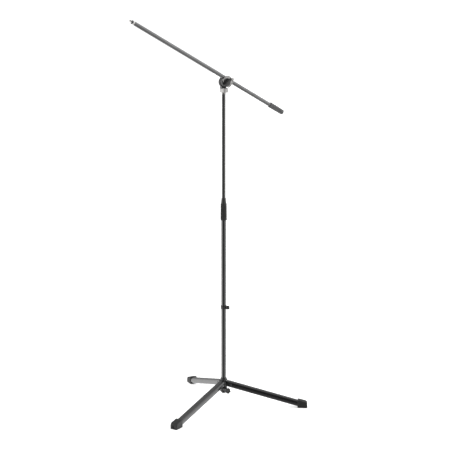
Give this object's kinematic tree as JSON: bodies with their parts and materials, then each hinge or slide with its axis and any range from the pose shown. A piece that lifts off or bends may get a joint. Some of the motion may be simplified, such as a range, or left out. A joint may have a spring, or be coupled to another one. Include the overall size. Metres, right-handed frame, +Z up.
{
  "type": "boom microphone stand",
  "caption": "Folding tripod microphone stand: telescoping column with twist clutch and a tilting, sliding boom with threaded tip.",
  "frame": {"origin": "centre of the stand's bounding box at floor level; the column's axis stands 12.7 mm towards -Y and 3 mm towards +X from it", "axes": "+Z up along the column; +X nearly along the first leg; the picture looks along +Y, and the boom's threaded tip points towards -X, -Y and up"},
  "size_m": [0.716, 0.627, 1.6082],
  "materials": {
    "base_hub": "semi-gloss black powder coat on a casting",
    "boom_grip": "matte dark grey-black rubber, fine texture",
    "boom_saddle": "satin black powder coat on a casting",
    "boom_tube": "semi-gloss black powder coat",
    "cable_clip": "black moulded plastic",
    "clamp_knob": "black moulded plastic, fine texture",
    "clamp_pad": "natural nylon",
    "clamp_plate": "satin nickel-plated die casting",
    "clamp_screw": "zinc-plated steel",
    "clutch_body": "black moulded plastic",
    "clutch_cap": "matte black moulded plastic",
    "clutch_collet": "natural nylon",
    "clutch_sleeve": "matte black ribbed rubber",
    "ear_screw_1": "zinc-plated steel",
    "ear_screw_2": "zinc-plated steel",
    "foot_1": "matte black rubber",
    "foot_2": "matte black rubber",
    "foot_3": "matte black rubber",
    "friction_disc": "black rubber",
    "guide_plug": "natural nylon",
    "knob_nut": "turned brass",
    "leg_1": "semi-gloss black powder coat",
    "leg_2": "semi-gloss black powder coat",
    "leg_3": "semi-gloss black powder coat",
    "leg_pin_1": "blackened steel rivet",
    "leg_pin_2": "blackened steel rivet",
    "leg_pin_3": "blackened steel rivet",
    "lock_cone": "semi-gloss black powder coat on a casting",
    "lock_nut": "black oxide steel",
    "lower_tube": "semi-gloss black powder coat",
    "swivel_base": "satin nickel-plated die casting",
    "thread_adapter": "nickel-plated steel",
    "thrust_washer": "black moulded plastic",
    "tilt_bolt": "zinc-plated steel",
    "tilt_ear": "satin black powder coat on a casting",
    "top_stud": "nickel-plated steel",
    "tube_end_plug": "black moulded plastic",
    "upper_tube": "semi-gloss black powder coat",
    "wing_knob": "black moulded plastic, fine texture"
  },
  "bodies": {
    "base": {"base_hub": "base_hub", "leg_pin_1": "leg_pin_1", "leg_pin_2": "leg_pin_2", "leg_pin_3": "leg_pin_3"},
    "leg_1": {"leg_1": "leg_1", "foot_1": "foot_1"},
    "leg_2": {"leg_2": "leg_2", "foot_2": "foot_2"},
    "leg_3": {"leg_3": "leg_3", "foot_3": "foot_3"},
    "clamp_pad": {"clamp_pad": "clamp_pad"},
    "clamp_screw": {"clamp_screw": "clamp_screw", "clamp_knob": "clamp_knob"},
    "column": {"lower_tube": "lower_tube", "tube_end_plug": "tube_end_plug", "lock_cone": "lock_cone", "clutch_body": "clutch_body", "clutch_collet": "clutch_collet"},
    "clutch": {"clutch_sleeve": "clutch_sleeve", "clutch_cap": "clutch_cap"},
    "cable_clip": {"cable_clip": "cable_clip"},
    "mast_guide": {"guide_plug": "guide_plug"},
    "mast": {"upper_tube": "upper_tube", "top_stud": "top_stud", "swivel_base": "swivel_base", "tilt_ear": "tilt_ear", "ear_screw_1": "ear_screw_1", "ear_screw_2": "ear_screw_2", "tilt_bolt": "tilt_bolt"},
    "boom_clamp": {"friction_disc": "friction_disc", "boom_saddle": "boom_saddle", "clamp_plate": "clamp_plate"},
    "tilt_washer": {"thrust_washer": "thrust_washer"},
    "wing_knob": {"wing_knob": "wing_knob", "knob_nut": "knob_nut"},
    "boom": {"boom_tube": "boom_tube", "thread_adapter": "thread_adapter", "boom_grip": "boom_grip"},
    "lock_nut": {"lock_nut": "lock_nut"}
  },
  "joints": [
    {"name": "column_lift", "type": "slide", "parent": "base", "child": "column", "axis": [0, 0, 1], "range_m": [0, 0.032]},
    {"name": "leg_1_fold", "type": "hinge", "parent": "base", "child": "leg_1", "pos_m": [0.03341, -0.01504, 0.0936], "axis": [0.0767, 0.9971, 0], "range_deg": [0, 75]},
    {"name": "leg_2_fold", "type": "hinge", "parent": "base", "child": "leg_2", "pos_m": [-0.01423, -0.03787, 0.0936], "axis": [0.8251, -0.565, 0], "range_deg": [0, 75]},
    {"name": "leg_3_fold", "type": "hinge", "parent": "base", "child": "leg_3", "pos_m": [-0.01018, 0.01481, 0.0936], "axis": [-0.9018, -0.4321, 0], "range_deg": [0, 75]},
    {"name": "clamp_pad_slide", "type": "slide", "parent": "base", "child": "clamp_pad", "axis": [0.4321, -0.9018, 0], "range_m": [0, 0.001]},
    {"name": "clamp_knob_turn", "type": "hinge", "parent": "clamp_pad", "child": "clamp_screw", "pos_m": [0.01596, -0.03975, 0.0745], "axis": [0.4321, -0.9018, 0], "range_deg": [0, 360]},
    {"name": "clutch_turn", "type": "hinge", "parent": "column", "child": "clutch", "pos_m": [0.003, -0.0127, 0.83], "axis": [0, 0, 1], "range_deg": [0, 150]},
    {"name": "cable_clip_slide", "type": "slide", "parent": "column", "child": "cable_clip", "axis": [0, 0, 1], "range_m": [-0.15, 0.15]},
    {"name": "mast_slide", "type": "slide", "parent": "column", "child": "mast_guide", "axis": [0, 0, 1], "range_m": [-0.415, 0.26]},
    {"name": "mast_turn", "type": "hinge", "parent": "mast_guide", "child": "mast", "pos_m": [0.003, -0.0127, 0.9], "axis": [0, 0, 1], "continuous": true},
    {"name": "boom_tilt", "type": "hinge", "parent": "mast", "child": "boom_clamp", "pos_m": [0.003, -0.0127, 1.3632], "axis": [0.454, -0.891, 0], "range_deg": [-46.25, 103.75]},
    {"name": "tilt_release", "type": "slide", "parent": "mast", "child": "tilt_washer", "axis": [0.454, -0.891, 0], "range_m": [0, 0.00125]},
    {"name": "wing_knob_turn", "type": "hinge", "parent": "tilt_washer", "child": "wing_knob", "pos_m": [0.02025, -0.04656, 1.3632], "axis": [0.454, -0.891, 0], "range_deg": [0, 360]},
    {"name": "boom_slide", "type": "slide", "parent": "boom_clamp", "child": "boom", "axis": [-0.7812, -0.398, 0.481], "range_m": [-0.41, 0.185]},
    {"name": "lock_nut_turn", "type": "hinge", "parent": "boom", "child": "lock_nut", "pos_m": [-0.34553, -0.21161, 1.59828], "axis": [-0.7812, -0.398, 0.481], "range_deg": [0, 360]}
  ],
  "couplings": [
    {"joint": "leg_1_fold", "follows": "column_lift", "rad_per_m": 40.9},
    {"joint": "leg_2_fold", "follows": "column_lift", "rad_per_m": 40.9},
    {"joint": "leg_3_fold", "follows": "column_lift", "rad_per_m": 40.9},
    {"joint": "clamp_pad_slide", "follows": "clamp_knob_turn", "m_per_rad": 0.000159},
    {"joint": "tilt_release", "follows": "wing_knob_turn", "m_per_rad": 0.000198}
  ]
}
